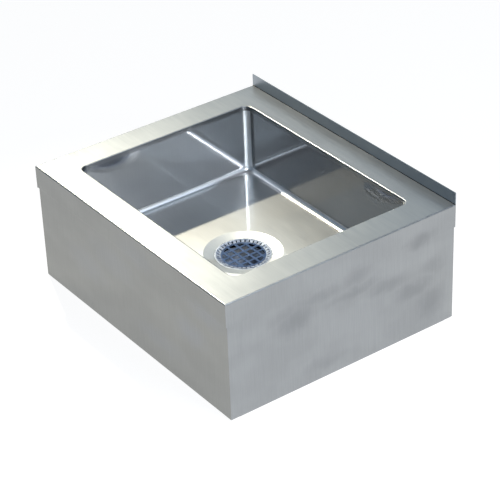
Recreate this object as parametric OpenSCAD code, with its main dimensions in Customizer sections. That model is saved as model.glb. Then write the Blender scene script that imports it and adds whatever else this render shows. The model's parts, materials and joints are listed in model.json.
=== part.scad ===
// Floor-standing mop service sink in sheet stainless steel, in millimetres.
// The origin is on the floor under the middle of the sink, on the drain's axis.
// +X runs to the right, +Y to the wall behind the sink and +Z up.

/* [Overall size] */
// Width of the sink
overall_w = 635; // [580:1:760]
// Depth of the sink, from the front edge to the back of the splash
overall_d = 533.4; // [490:0.1:660]
// Height of the deck above the floor
deck_h = 254; // [240:0.1:340]
// Height of the splash above the deck
splash_h = 25.4; // [15:0.1:150]
// Thickness of the deck, bowl and skirt sheets
sheet_t = 1.6; // [1.2:0.1:2]

/* [Deck] */
// Height of the deck's turned-down edges
turn_down = 49; // [30:1:80]
// Outside radius of the folds at the deck's edges
edge_r = 2.4; // [2.2:0.1:4]
// Height of the hem folded up behind the front edge
hem_h = 12; // [6:1:25]
// Inside radius of the bend between deck and splash
splash_r = 1; // [0.5:0.5:8]

/* [Bowl] */
// Width of the bowl between its walls
bowl_w = 508; // [440:1:540]
// Depth of the bowl from its front wall to its back wall
bowl_d = 406.4; // [340:0.1:430]
// Height from the bowl's floor to the deck
bowl_depth = 152.4; // [110:0.1:165]
// Radius of the bowl's upright corners
corner_r = 15; // [14:0.5:40]
// Radius of the cove between walls and floor
cove_r = 12.7; // [6:0.1:13]
// Radius of the rolled edge round the bowl's opening
lip_r = 3; // [2.2:0.1:6]
// Height of the turned-down lip that the bowl's walls are welded to
lip_h = 10; // [7:1:20]

/* [Drain dish] */
// Diameter of the dished recess round the drain
dish_d = 158; // [140:1:180]
// Fall of the dish from the bowl's floor to the drain flange
dish_drop = 4; // [2:0.5:8]
// Diameter of the hole in the bowl
outlet_hole_d = 106; // [102:1:108]

/* [Strainer body] */
// Outside diameter of the drain flange
flange_d = 114; // [114:1:124]
// Thickness of the drain flange
flange_t = 1.2; // [0.8:0.1:1.4]
// Width of the flange's flat outer land
flange_land = 2.5; // [1.5:0.1:3]
// Inside diameter of the cup
cup_d = 88; // [80:1:89]
// Thickness of the cup's wall
cup_wall = 1.6; // [1.2:0.1:1.7]
// Depth of the cup's straight wall below the flange
cup_depth = 36; // [32:1:40]
// Fall of the cup's sloping bottom
cup_fall = 9; // [5:1:12]
// Depth of the outlet's end below the flange
outlet_depth = 60; // [58:1:64]
// Outside diameter of the outlet's thread
outlet_d = 47.6; // [44:0.1:50]
// Bore of the outlet
outlet_bore = 38; // [32:1:39]
// Pitch of the threads
thread_pitch = 2.2; // [1.5:0.1:3]
// Depth of the threads
thread_depth = 0.8; // [0.4:0.1:1.2]

/* [Basket] */
// Fall of the basket's slotted cone
basket_fall = 3.6; // [2.5:0.1:5]
// Thickness of the basket's sheet
basket_t = 1; // [0.6:0.1:1.4]
// Number of slots in the cone
slot_count = 36; // [24:2:44]
// Width of one slot
slot_w = 3; // [2:0.1:3.4]
// Distance between the square holes, centre to centre
grid_pitch = 17.6; // [16:0.1:20]
// Width of the bars between the square holes
grid_bar = 5; // [3:0.1:7]
// Width of the solid edge round the square holes
grid_edge = 3; // [2:0.1:6]
// Width of the ledge inside the cone that carries the grid
ledge_w = 3.3; // [1.5:0.1:4.5]

/* [Seals and nuts] */
// Thickness of the gasket under the flange
gasket_t = 1.5; // [1:0.1:3]
// Thickness of the rubber gasket under the bowl
lower_gasket_t = 3; // [2:0.1:5]
// Thickness of the fibre friction ring
friction_t = 1.2; // [0.8:0.1:2]
// Height of the lock nut
lock_nut_h = 11; // [8:1:14]
// Outside diameter of the lock nut's body
lock_nut_d = 116; // [112:1:124]
// Number of lugs round the lock nut
lug_count = 8; // [4:1:12]
// How far a lug stands out
lug_out = 5; // [3:0.5:8]
// Width of a lug
lug_w = 8; // [5:1:12]

/* [Tailpiece] */
// Outside diameter of the tailpiece
tail_d = 38.1; // [31.8:0.1:38.1]
// Wall thickness of the tailpiece
tail_wall = 1.3; // [0.8:0.1:2]
// Distance from the tailpiece's end to the floor
tail_floor_gap = 4; // [1:0.5:8]
// Thickness of the tailpiece's washer
tail_washer_t = 3; // [2:0.1:4]
// Thickness of the tailpiece's flange
tail_flange_t = 1.5; // [1:0.1:2.5]
// Width of the coupling nut across its flats
coupling_af = 57; // [55:1:64]
// Height that the coupling nut reaches up the outlet
coupling_grip = 8.5; // [6:0.5:10]
// Thickness of the coupling nut's bottom lip
coupling_lip = 3.7; // [2:0.1:5]

/* [Skirts] */
// Outside radius of the skirts' folds
skirt_fold_r = 2.4; // [2.2:0.1:4]
// Width of the skirts' feet on the floor
foot_w = 20; // [15:1:28]
// Width of the skirts' top flanges under the deck
top_flange_w = 12; // [8:1:20]

/* [Frame inside] */
// Leg length of the corner posts
post_leg = 25; // [20:1:35]
// Thickness of the corner posts
post_t = 2; // [1.5:0.1:3]
// Outside radius of the corner posts' fold
post_fold_r = 3; // [3:0.5:5]
// Side of a square anchor plate
plate_size = 60; // [54:1:60]
// Thickness of an anchor plate
plate_t = 3; // [2:0.5:6]
// Distance from the deck's outer edges to the anchor holes
anchor_inset = 38; // [37:0.5:60]
// Diameter of the anchor holes
anchor_d = 10.5; // [8:0.5:14]
// Distance from the drain's axis to the middle of a support channel
channel_y = 115; // [108:1:140]
// Width of a support channel's web
channel_w = 40; // [30:1:50]
// Height of a support channel
channel_h = 25; // [15:1:40]
// Width of a support channel's flanges
channel_flange = 12; // [8:1:20]
// Thickness of a support channel
channel_t = 2; // [1.5:0.1:3]
// Outside radius of a support channel's folds
channel_fold_r = 3; // [3:0.5:5]

/* [Damping pads] */
// Thickness of the damping pads
pad_t = 2.5; // [1:0.5:5]
// Width of the pads on the front and back walls
wall_pad_w = 300; // [150:1:400]
// Height of the pads on the front and back walls
wall_pad_h = 80; // [40:1:85]
// Corner radius of the pads
pad_corner_r = 8; // [2:1:15]
// Distance from a floor pad to the dish, the coves and the channels
pad_margin = 10; // [5:1:20]

/* [Clearances] */
// Gap between the basket and the cone that it sits in
basket_gap = 0.3; // [0.2:0.05:0.5]
// Radial gap between threads, seals and the parts round them
thread_gap = 0.2; // [0.1:0.05:0.4]
// Gap round the flange in its seat
flange_gap = 0.5; // [0.2:0.1:1]
// Gap between folded flanges that meet in a corner
fold_gap = 0.5; // [0.3:0.1:1]

/* [Hidden] */
$fn = 96;

// Overlap that a cut reaches past the face it opens
cut = 1;
// Chamfer between the strainer body's cone and its cup
cone_chamfer = 1;
// How far the tailpiece's neck steps in under the coupling nut, and how far below the nut
tail_neck = 0.45;
neck_drop = 0.4;

half_w = overall_w / 2;
half_d = overall_d / 2;
floor_z = deck_h - bowl_depth;
turn_down_z = deck_h - turn_down;
splash_fold_r = splash_r + sheet_t;

// The skirts stand one sheet behind the side edges and two behind the hemmed front edge.
side_face_x = half_w - sheet_t;
front_face_y = -half_d + 2 * sheet_t;
rear_face_y = half_d - sheet_t;
inner_x = side_face_x - sheet_t;
inner_front_y = front_face_y + sheet_t;
inner_rear_y = rear_face_y - sheet_t;
side_mid_y = (front_face_y + rear_face_y) / 2;
skirt_h = deck_h - sheet_t;

// Drain heights, from the flange's top face down
drain_z = floor_z - dish_drop;
seat_z = drain_z - flange_t - gasket_t;
seat_r = flange_d / 2 + flange_gap;
seat_under_z = seat_z - sheet_t;
flange_r = flange_d / 2;
cone_top_r = flange_r - flange_land;
cup_r = cup_d / 2;
cone_low_r = cup_r + cone_chamfer;
cup_out_r = cup_r + cup_wall;
thread_r = cup_out_r + thread_depth;
outlet_r = outlet_d / 2;
outlet_end_z = drain_z - outlet_depth;
cone_slope = basket_fall / (cone_top_r - cone_low_r);

lower_gasket_z = seat_under_z - lower_gasket_t;
friction_z = lower_gasket_z - friction_t;
lock_nut_z = friction_z - lock_nut_h;
seal_bore_r = thread_r + thread_gap;

tail_r = tail_d / 2;
tail_flange_r = outlet_r - thread_depth;
tail_washer_z = outlet_end_z - tail_washer_t;
tail_flange_z = tail_washer_z - tail_flange_t;
coupling_z = tail_flange_z - coupling_lip;

post_z = skirt_fold_r + fold_gap;
post_top_z = skirt_h - skirt_fold_r - fold_gap;
plate_half = plate_size / 2;

steel = "#b9bcbd";
bright_steel = "#c9cccd";
galvanised = "#a3a8ab";
rubber_black = "#2b2b2d";
brass_yellow = "#b59a5b";

// Plane figure: a rectangle with round corners, centred
module rounded_rect(w, d, r) {
    square([w - 2 * r, d], center = true);
    square([w, d - 2 * r], center = true);
    for (sx = [-1, 1], sy = [-1, 1]) {
        translate([sx * (w / 2 - r), sy * (d / 2 - r)]) circle(r);
    }
}

// Plane figure: the section of a quarter bend in sheet of thickness t, outside radius r
module quarter_bend(r, t) {
    intersection() {
        difference() {
            circle(r);
            circle(r - t);
        }
        square(r);
    }
}

// Turns a plane figure into a straight strip along X: figure x becomes Y, figure y becomes Z.
module along_x(length) {
    rotate([90, 0, 90]) linear_extrude(length, center = true) children();
}

// Carries a section round a rectangle with round corners. Section x runs outward from the
// rectangle's side and section y is the height.
module sweep_round_rect(w, d, r) {
    for (i = [0:3]) {
        across = i % 2 == 0 ? w : d;
        along = i % 2 == 0 ? d : w;
        rotate([0, 0, 90 * i]) {
            translate([across / 2, 0, 0]) rotate([90, 0, 0])
                linear_extrude(along - 2 * r, center = true) children();
            translate([across / 2 - r, along / 2 - r, 0])
                rotate_extrude(angle = 90) translate([r, 0]) children();
        }
    }
}

// Solid block whose top edges at the sides and the front are round; the back is square.
module deck_block(inset, low_z, back_y) {
    top_z = deck_h - inset;
    r = edge_r - inset;
    half = half_w - inset;
    front = -half_d + inset;
    intersection() {
        rotate([90, 0, 0]) linear_extrude(2 * overall_d, center = true) union() {
            translate([-half, low_z]) square([2 * half, top_z - r - low_z]);
            translate([-half + r, low_z]) square([2 * (half - r), top_z - low_z]);
            for (s = [-1, 1]) {
                translate([s * (half - r), top_z - r]) circle(r);
            }
        }
        along_x(2 * overall_w) union() {
            translate([front, low_z]) square([back_y - front, top_z - r - low_z]);
            translate([front + r, low_z]) square([back_y - front - r, top_z - low_z]);
            translate([front + r, top_z - r]) circle(r);
        }
    }
}

// Section of the bend and upright of the splash
module splash_section() {
    translate([half_d - splash_fold_r, deck_h + splash_r]) mirror([0, 1])
        quarter_bend(splash_fold_r, sheet_t);
    translate([half_d - sheet_t, deck_h + splash_r]) square([sheet_t, splash_h - splash_r]);
}

// Section of the closed hem at the bottom of the front edge
module hem_section() {
    translate([-half_d + sheet_t, turn_down_z + sheet_t]) circle(sheet_t);
    translate([-half_d, turn_down_z + sheet_t]) square([2 * sheet_t, hem_h - sheet_t]);
}

// Section of the rolled lip round the bowl's opening
module lip_section() {
    translate([lip_r, deck_h - lip_r]) mirror([1, 0]) quarter_bend(lip_r, sheet_t);
    translate([0, deck_h - lip_h]) square([sheet_t, lip_h - lip_r]);
}

module deck_top() {
    color(steel) {
        difference() {
            deck_block(0, turn_down_z, half_d);
            deck_block(sheet_t, turn_down_z - cut, half_d + cut);
            translate([-side_face_x, half_d - splash_fold_r, deck_h - 2 * sheet_t])
                cube([2 * side_face_x, splash_fold_r + cut, 3 * sheet_t]);
            translate([-side_face_x, -half_d - cut, turn_down_z - cut])
                cube([2 * side_face_x, sheet_t + 2 * cut, sheet_t + cut]);
            translate([0, 0, deck_h - 2 * sheet_t]) linear_extrude(3 * sheet_t)
                rounded_rect(bowl_w + 2 * lip_r, bowl_d + 2 * lip_r, corner_r + lip_r);
        }
        along_x(overall_w) splash_section();
        along_x(2 * side_face_x) hem_section();
        sweep_round_rect(bowl_w, bowl_d, corner_r) lip_section();
    }
}

// Section of the bowl's wall and cove
module wall_section() {
    translate([0, floor_z + cove_r]) square([sheet_t, deck_h - lip_h - floor_z - cove_r]);
    translate([-cove_r, floor_z + cove_r]) mirror([0, 1]) quarter_bend(cove_r + sheet_t, sheet_t);
}

// Section of the dish, its step and the seat under the flange
module dish_section() {
    dish_r = dish_d / 2;
    step_r = seat_r + sheet_t;
    rise = sheet_t * dish_drop / (dish_r - seat_r);
    polygon([
        [dish_r + 2 * cut, floor_z], [dish_r, floor_z], [seat_r, drain_z], [seat_r, seat_z],
        [outlet_hole_d / 2, seat_z], [outlet_hole_d / 2, seat_under_z], [step_r, seat_under_z],
        [step_r, drain_z + rise - sheet_t], [dish_r, floor_z - sheet_t],
        [dish_r + 2 * cut, floor_z - sheet_t]
    ]);
}

module sink_bowl() {
    color(bright_steel) {
        sweep_round_rect(bowl_w, bowl_d, corner_r) wall_section();
        translate([0, 0, floor_z - sheet_t]) linear_extrude(sheet_t) difference() {
            rounded_rect(bowl_w - 2 * cove_r, bowl_d - 2 * cove_r, corner_r - cove_r);
            circle(dish_d / 2 + cut);
        }
        rotate_extrude() dish_section();
    }
}

// Skirt panel. Its outer face is on Y = 0 and looks to -Y, and its flanges are folded to +Y.
module skirt(web_len, foot_len, top_len) {
    r = skirt_fold_r;
    along_x(web_len) translate([0, r]) square([sheet_t, skirt_h - 2 * r]);
    along_x(foot_len) {
        translate([r, r]) rotate(180) quarter_bend(r, sheet_t);
        translate([r, 0]) square([foot_w - r, sheet_t]);
    }
    along_x(top_len) {
        translate([r, skirt_h - r]) mirror([1, 0]) quarter_bend(r, sheet_t);
        translate([r, skirt_h - sheet_t]) square([top_flange_w - r, sheet_t]);
    }
}

long_fold = 2 * inner_x - 2 * fold_gap;
side_run = rear_face_y - front_face_y;

module front_skirt() {
    color(steel) translate([0, front_face_y, 0]) skirt(2 * side_face_x, long_fold, long_fold);
}

module rear_skirt() {
    color(steel) translate([0, rear_face_y, 0]) rotate(180)
        skirt(2 * side_face_x, long_fold, long_fold);
}

// Side skirt, turned to face right or left
module side_skirt(side) {
    color(steel) translate([side * side_face_x, side_mid_y, 0]) rotate(side * 90)
        skirt(
            side_run - 2 * sheet_t,
            side_run - 2 * foot_w - 2 * fold_gap,
            side_run - 2 * top_flange_w - 2 * fold_gap
        );
}

module left_skirt() {
    side_skirt(-1);
}

module right_skirt() {
    side_skirt(1);
}

// Angle post with its outer corner at x, y and its legs turned by the given angle
module corner_post(x, y, turn) {
    color(galvanised) translate([x, y, post_z]) rotate(turn)
        linear_extrude(post_top_z - post_z) union() {
            translate([post_fold_r, post_fold_r]) rotate(180) quarter_bend(post_fold_r, post_t);
            translate([post_fold_r, 0]) square([post_leg - post_fold_r, post_t]);
            translate([0, post_fold_r]) square([post_t, post_leg - post_fold_r]);
        }
}

module corner_post_fl() {
    corner_post(-inner_x, inner_front_y, 0);
}

module corner_post_fr() {
    corner_post(inner_x, inner_front_y, 90);
}

module corner_post_bl() {
    corner_post(-inner_x, inner_rear_y, 270);
}

module corner_post_br() {
    corner_post(inner_x, inner_rear_y, 180);
}

// Foot plate with one anchor hole. Its cut-off corner looks to the middle of the sink.
module anchor_plate(sx, sy, turn) {
    color(galvanised)
        translate([sx * (half_w - anchor_inset), sy * (half_d - anchor_inset), sheet_t])
            rotate(turn) difference() {
                linear_extrude(plate_t) polygon([
                    [-plate_half, -plate_half], [plate_half, -plate_half],
                    [plate_half, 0], [0, plate_half], [-plate_half, plate_half]
                ]);
                translate([0, 0, -cut]) cylinder(d = anchor_d, h = plate_t + 2 * cut);
            }
}

module anchor_plate_fl() {
    anchor_plate(-1, -1, 0);
}

module anchor_plate_fr() {
    anchor_plate(1, -1, 90);
}

module anchor_plate_bl() {
    anchor_plate(-1, 1, 270);
}

module anchor_plate_br() {
    anchor_plate(1, 1, 180);
}

// Section of half a hat channel, from its middle outward, with its web on Z = channel_h
module half_hat() {
    r = channel_fold_r;
    t = channel_t;
    side = channel_w / 2;
    translate([0, channel_h - t]) square([side - r, t]);
    translate([side - r, channel_h - r]) quarter_bend(r, t);
    translate([side - t, r]) square([t, channel_h - 2 * r]);
    translate([side - t + r, r]) rotate(180) quarter_bend(r, t);
    translate([side - t + r, 0]) square([channel_flange - r + t, t]);
}

module support_channel(y) {
    color(galvanised) translate([0, y, floor_z - sheet_t - channel_h])
        along_x(2 * inner_x) {
            half_hat();
            mirror([1, 0]) half_hat();
        }
}

module support_channel_front() {
    support_channel(-channel_y);
}

module support_channel_rear() {
    support_channel(channel_y);
}

// Damping pad under the bowl's floor, left or right of the drain
module floor_pad(side) {
    near = dish_d / 2 + pad_margin;
    far = bowl_w / 2 - cove_r - pad_margin;
    reach = channel_y - channel_w / 2 - pad_margin;
    color(rubber_black)
        translate([side * (near + far) / 2, 0, floor_z - sheet_t - pad_t])
            linear_extrude(pad_t) rounded_rect(far - near, 2 * reach, pad_corner_r);
}

module damping_pad_left() {
    floor_pad(-1);
}

module damping_pad_right() {
    floor_pad(1);
}

// Damping pad on the outside of the bowl's front or back wall
module wall_pad(side) {
    color(rubber_black)
        translate([0, side * (bowl_d / 2 + sheet_t + pad_t / 2), (floor_z + deck_h) / 2])
            rotate([90, 0, 0]) linear_extrude(pad_t, center = true)
                rounded_rect(wall_pad_w, wall_pad_h, pad_corner_r);
}

module damping_pad_front() {
    wall_pad(-1);
}

module damping_pad_rear() {
    wall_pad(1);
}

// Flat ring between two radii, from z upward
module ring(inner_r, outer_r, z, h) {
    translate([0, 0, z]) difference() {
        cylinder(r = outer_r, h = h);
        translate([0, 0, -cut]) cylinder(r = inner_r, h = h + 2 * cut);
    }
}

// Points of a thread's parallel ridges on a wall of radius r, from low up to high
function ridges(r, low, high) = [
    for (i = [0:floor((high - low) / thread_pitch) - 1], k = [0, 1])
        [r + k * thread_depth, low + (i + k / 2) * thread_pitch]
];

// Section of the strainer body: flange, cone, cup and outlet, in one wall
module strainer_section() {
    bore_r = outlet_bore / 2;
    core_r = outlet_r - thread_depth;
    low = -cup_depth - cup_fall;
    step = cup_wall * cup_fall / (cup_r - bore_r);
    polygon(concat(
        [
            [flange_r, 0], [cone_top_r, 0], [cone_low_r, -basket_fall],
            [cup_r, -basket_fall - cone_chamfer], [cup_r, -cup_depth], [bore_r, low],
            [bore_r, -outlet_depth], [core_r, -outlet_depth]
        ],
        ridges(core_r, -outlet_depth + thread_pitch / 2, -outlet_depth + coupling_grip + thread_pitch),
        [[core_r, low], [cup_out_r, -cup_depth - cup_wall - step]],
        ridges(cup_out_r, lock_nut_z - thread_pitch - drain_z, seat_under_z - drain_z),
        [[cup_out_r, -basket_fall - flange_t], [cone_top_r, -flange_t], [flange_r, -flange_t]]
    ));
}

module strainer_body() {
    color(bright_steel) translate([0, 0, drain_z]) rotate_extrude() strainer_section();
}

module flange_gasket() {
    color(rubber_black) ring(cone_top_r, flange_r - thread_gap, seat_z, gasket_t);
}

module lower_gasket() {
    color(rubber_black)
        ring(seal_bore_r, seat_r, lower_gasket_z, lower_gasket_t);
}

module friction_ring() {
    color("#8a5a3c") ring(seal_bore_r, seat_r, friction_z, friction_t);
}

module lock_nut() {
    body_r = lock_nut_d / 2;
    color(brass_yellow) difference() {
        union() {
            translate([0, 0, lock_nut_z]) cylinder(r = body_r, h = lock_nut_h);
            for (i = [0:lug_count - 1]) {
                rotate(i * 360 / lug_count) translate([0, -lug_w / 2, lock_nut_z])
                    cube([body_r + lug_out, lug_w, lock_nut_h]);
            }
        }
        translate([0, 0, lock_nut_z - cut]) cylinder(r = seal_bore_r, h = lock_nut_h + 2 * cut);
    }
}

module tail_washer() {
    color("#e6e4da")
        ring(tail_r + thread_gap, outlet_r - thread_gap, tail_washer_z, tail_washer_t);
}

module tailpiece() {
    neck_z = coupling_z - neck_drop;
    color(brass_yellow) difference() {
        union() {
            translate([0, 0, tail_floor_gap]) cylinder(r = tail_r, h = neck_z - tail_floor_gap);
            translate([0, 0, neck_z]) cylinder(r = tail_r - tail_neck, h = tail_washer_z - neck_z);
            translate([0, 0, tail_flange_z]) cylinder(r = tail_flange_r, h = tail_flange_t);
        }
        translate([0, 0, tail_floor_gap - cut])
            cylinder(r = tail_r - tail_wall, h = tail_washer_z - tail_floor_gap + 2 * cut);
    }
}

module coupling_nut() {
    top_z = outlet_end_z + coupling_grip;
    color(brass_yellow) difference() {
        translate([0, 0, coupling_z])
            cylinder(d = coupling_af / cos(30), h = top_z - coupling_z, $fn = 6);
        translate([0, 0, coupling_z - cut])
            cylinder(r = tail_r + thread_gap, h = coupling_lip + 2 * cut);
        translate([0, 0, tail_flange_z])
            cylinder(r = outlet_r + thread_gap, h = top_z - tail_flange_z + cut);
    }
}

// Height of the basket's underside above the drain flange's top face, at radius r
function basket_z(r) = basket_gap / cos(atan(cone_slope)) - cone_slope * (cone_top_r - r);

rim_top_r = cone_top_r - 2 * basket_gap;
rim_low_r = cone_low_r + basket_gap;
ledge_in_r = rim_low_r - ledge_w;

module basket_rim() {
    slot_in = rim_low_r + 2 * basket_t;
    slot_len = rim_top_r - 2 * basket_t - slot_in;
    color(bright_steel) translate([0, 0, drain_z]) difference() {
        rotate_extrude() polygon([
            [rim_top_r, basket_z(rim_top_r)], [rim_top_r, basket_z(rim_top_r) + basket_t],
            [rim_low_r, basket_z(rim_low_r) + basket_t],
            [ledge_in_r, basket_z(rim_low_r) + basket_t],
            [ledge_in_r, basket_z(rim_low_r)], [rim_low_r, basket_z(rim_low_r)]
        ]);
        for (i = [0:slot_count - 1]) {
            rotate(i * 360 / slot_count) translate([slot_in, -slot_w / 2, -2 * basket_fall])
                cube([slot_len, slot_w, 4 * basket_fall]);
        }
    }
}

module basket_grid() {
    plate_r = rim_low_r - basket_gap;
    hole = grid_pitch - grid_bar;
    reach = floor(plate_r / grid_pitch);
    color("#7d8a9c") translate([0, 0, drain_z + basket_z(rim_low_r) + basket_t])
        linear_extrude(basket_t) difference() {
            circle(plate_r);
            intersection() {
                circle(plate_r - grid_edge);
                union() {
                    for (i = [-reach:reach], j = [-reach:reach]) {
                        if (abs(i) + abs(j) < 2 * reach) {
                            translate([i * grid_pitch, j * grid_pitch]) square(hole, center = true);
                        }
                    }
                }
            }
        }
}

deck_top();
sink_bowl();
front_skirt();
rear_skirt();
left_skirt();
right_skirt();
corner_post_fl();
corner_post_fr();
corner_post_bl();
corner_post_br();
anchor_plate_fl();
anchor_plate_fr();
anchor_plate_bl();
anchor_plate_br();
support_channel_front();
support_channel_rear();
damping_pad_left();
damping_pad_right();
damping_pad_front();
damping_pad_rear();
strainer_body();
flange_gasket();
lower_gasket();
friction_ring();
lock_nut();
tail_washer();
coupling_nut();
tailpiece();
basket_rim();
basket_grid();
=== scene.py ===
# %% [markdown]
# # A mop service sink in brushed stainless steel
#
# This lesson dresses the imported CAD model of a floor-standing mop sink. The CAD model is a fixed
# frame: nothing in it is moved, and every new piece rides on one of its bodies.

# %% Frame and units
import json
import math

import bmesh
import bpy
from mathutils import Matrix, Vector


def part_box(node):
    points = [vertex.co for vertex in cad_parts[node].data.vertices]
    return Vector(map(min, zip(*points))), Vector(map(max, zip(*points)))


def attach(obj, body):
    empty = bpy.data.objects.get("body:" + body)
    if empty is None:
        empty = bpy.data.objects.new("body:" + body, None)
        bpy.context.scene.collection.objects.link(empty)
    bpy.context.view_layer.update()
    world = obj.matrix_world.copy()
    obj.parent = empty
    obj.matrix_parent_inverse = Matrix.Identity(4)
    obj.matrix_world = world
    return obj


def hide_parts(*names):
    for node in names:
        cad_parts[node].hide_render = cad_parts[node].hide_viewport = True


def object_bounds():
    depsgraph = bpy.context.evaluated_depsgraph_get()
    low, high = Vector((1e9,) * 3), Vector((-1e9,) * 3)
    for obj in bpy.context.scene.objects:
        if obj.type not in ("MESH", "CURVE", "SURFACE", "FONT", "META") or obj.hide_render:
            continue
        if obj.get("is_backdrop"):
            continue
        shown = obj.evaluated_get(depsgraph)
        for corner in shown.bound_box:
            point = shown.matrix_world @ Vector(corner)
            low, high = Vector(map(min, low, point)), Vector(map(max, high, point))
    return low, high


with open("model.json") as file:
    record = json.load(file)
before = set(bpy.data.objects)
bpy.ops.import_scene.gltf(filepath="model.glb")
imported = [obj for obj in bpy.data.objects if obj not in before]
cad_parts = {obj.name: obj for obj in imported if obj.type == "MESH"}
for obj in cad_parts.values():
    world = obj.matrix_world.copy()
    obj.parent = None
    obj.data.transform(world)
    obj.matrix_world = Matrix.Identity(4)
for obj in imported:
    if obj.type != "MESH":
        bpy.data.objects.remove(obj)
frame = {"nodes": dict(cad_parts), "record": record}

MM = 0.001
cad_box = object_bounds()
nodes = frame["nodes"]


def in_mm(box):
    """The corners of a box in metres as rounded millimetres."""
    return [[round(c / MM, 1) for c in corner] for corner in box]


print("CAD box in mm:", in_mm(cad_box))

# %% [markdown]
# ## The camera
#
# The photograph was taken with a long lens from the front right, a little tilted. The lens, the
# place and the roll were worked out from the corners of the sink in the photograph.

# %% Camera
CAMERA_PLACE = Vector((2.659129, -1.866202, 2.145189))
CAMERA_FORWARD = Vector((-0.69126977, 0.48933893, -0.53168931))
CAMERA_ROLL = math.radians(-2.2707)
LENS_MM, SENSOR_MM = 141.297, 36
CLIP_NEAR, CLIP_FAR = 0.1, 60  # metres


def add_camera():
    """The camera, turned to its line of sight and rolled about it."""
    level_right = CAMERA_FORWARD.cross(Vector((0, 0, 1))).normalized()
    level_up = level_right.cross(CAMERA_FORWARD)
    right = math.cos(CAMERA_ROLL) * level_right + math.sin(CAMERA_ROLL) * level_up
    up = right.cross(CAMERA_FORWARD)
    data = bpy.data.cameras.new("camera")
    data.lens, data.sensor_width = LENS_MM, SENSOR_MM
    data.clip_start, data.clip_end = CLIP_NEAR, CLIP_FAR
    camera = bpy.data.objects.new("camera", data)
    turn = Matrix((right, up, -CAMERA_FORWARD)).transposed()
    camera.matrix_world = Matrix.Translation(CAMERA_PLACE) @ turn.to_4x4()
    bpy.context.scene.collection.objects.link(camera)
    bpy.context.scene.camera = camera
    return camera


camera = add_camera()
bpy.context.scene.view_settings.view_transform = "Standard"
print("camera at", [round(c, 3) for c in camera.location], "lens", camera.data.lens)

# %% [markdown]
# ## Helpers for colours and nodes
#
# Colours are written as sRGB hex values, as in any paint program. Blender counts in linear light,
# so one function turns them. One more function adds a shader node with its settings and its links,
# which keeps every material short. The last two open a material and close it with its shader.

# %% Colour and node helpers
def colour(hex_value):
    """An sRGB hex value such as "#a0a3a2" as linear red, green, blue, alpha."""
    parts = [int(hex_value[i:i + 2], 16) / 255 for i in (1, 3, 5)]
    return [c / 12.92 if c <= 0.04045 else ((c + 0.055) / 1.055) ** 2.4 for c in parts] + [1]


def add_node(tree, kind, inputs=None, **settings):
    """A new node with its settings. An input is given as a value or as another node's output."""
    node = tree.nodes.new(kind)
    for name, value in settings.items():
        setattr(node, name, value)
    for name, value in (inputs or {}).items():
        if isinstance(value, bpy.types.NodeSocket):
            tree.links.new(value, node.inputs[name])
        else:
            node.inputs[name].default_value = value
    return node


def new_material(name):
    """An empty material and its tree."""
    material = bpy.data.materials.new(name)
    material.use_nodes = True
    material.node_tree.nodes.clear()
    return material, material.node_tree


def close_material(material, surface):
    """Gives a material its finished surface."""
    add_node(material.node_tree, "ShaderNodeOutputMaterial", {"Surface": surface})
    print("made", material.name, "with", len(material.node_tree.nodes), "nodes")
    return material


# %% [markdown]
# ## Grey patches on the steel
#
# Soft grey patches and long streaks darken the front and the right side of the sink. They have no
# thickness, so they are drawn in the material. Each mark is an egg-shaped region in space, given
# by its middle and its half sizes, with an edge that a noise makes ragged. Painting a picture of
# them would also work, but regions keep their size when the sink is made larger.

# %% Grey patches
FRONT_Y, SIDE_X = -264, 316.5  # the two marked panels in mm
GREY_PATCH_DEPTH = 30  # half size of a mark across its panel in mm
GREY_PATCH_RAGGED_MM = 26  # size and reach of the noise that bends a mark's edge
# A mark is full at its middle and gone past its edge. Both are distances in half sizes.
GREY_PATCH_FULL, GREY_PATCH_GONE = 0.1, 1.6
SIDE_MARKS = [
    # middle (toward the back, up) and half sizes in mm, strength
    (-114, 152, 38, 28, 0.8), (-139, 175, 42, 17, 0.45), (-60, 180, 62, 14, 0.5),
    (24, 158, 60, 12, 0.55), (100, 142, 50, 14, 0.6), (168, 106, 48, 18, 0.75),
    (212, 60, 36, 36, 0.8), (181, 209, 32, 17, 0.8), (31, 190, 30, 16, 0.5),
    (211, 140, 26, 18, 0.5), (-54, 32, 50, 15, 0.4),
]
FRONT_MARKS = [
    # middle (to the right, up) and half sizes in mm, strength
    (-150, 106, 60, 32, 0.45), (-60, 160, 72, 32, 0.45), (30, 214, 60, 27, 0.45),
    (199, 132, 44, 26, 0.75), (254, 196, 52, 20, 0.65), (90, 60, 72, 20, 0.45),
]
GREY_PATCHES = [
    ((SIDE_X, along, up), (GREY_PATCH_DEPTH, long, tall), strength)
    for along, up, long, tall, strength in SIDE_MARKS
] + [
    ((along, FRONT_Y, up), (long, GREY_PATCH_DEPTH, tall), strength)
    for along, up, long, tall, strength in FRONT_MARKS
]


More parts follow.
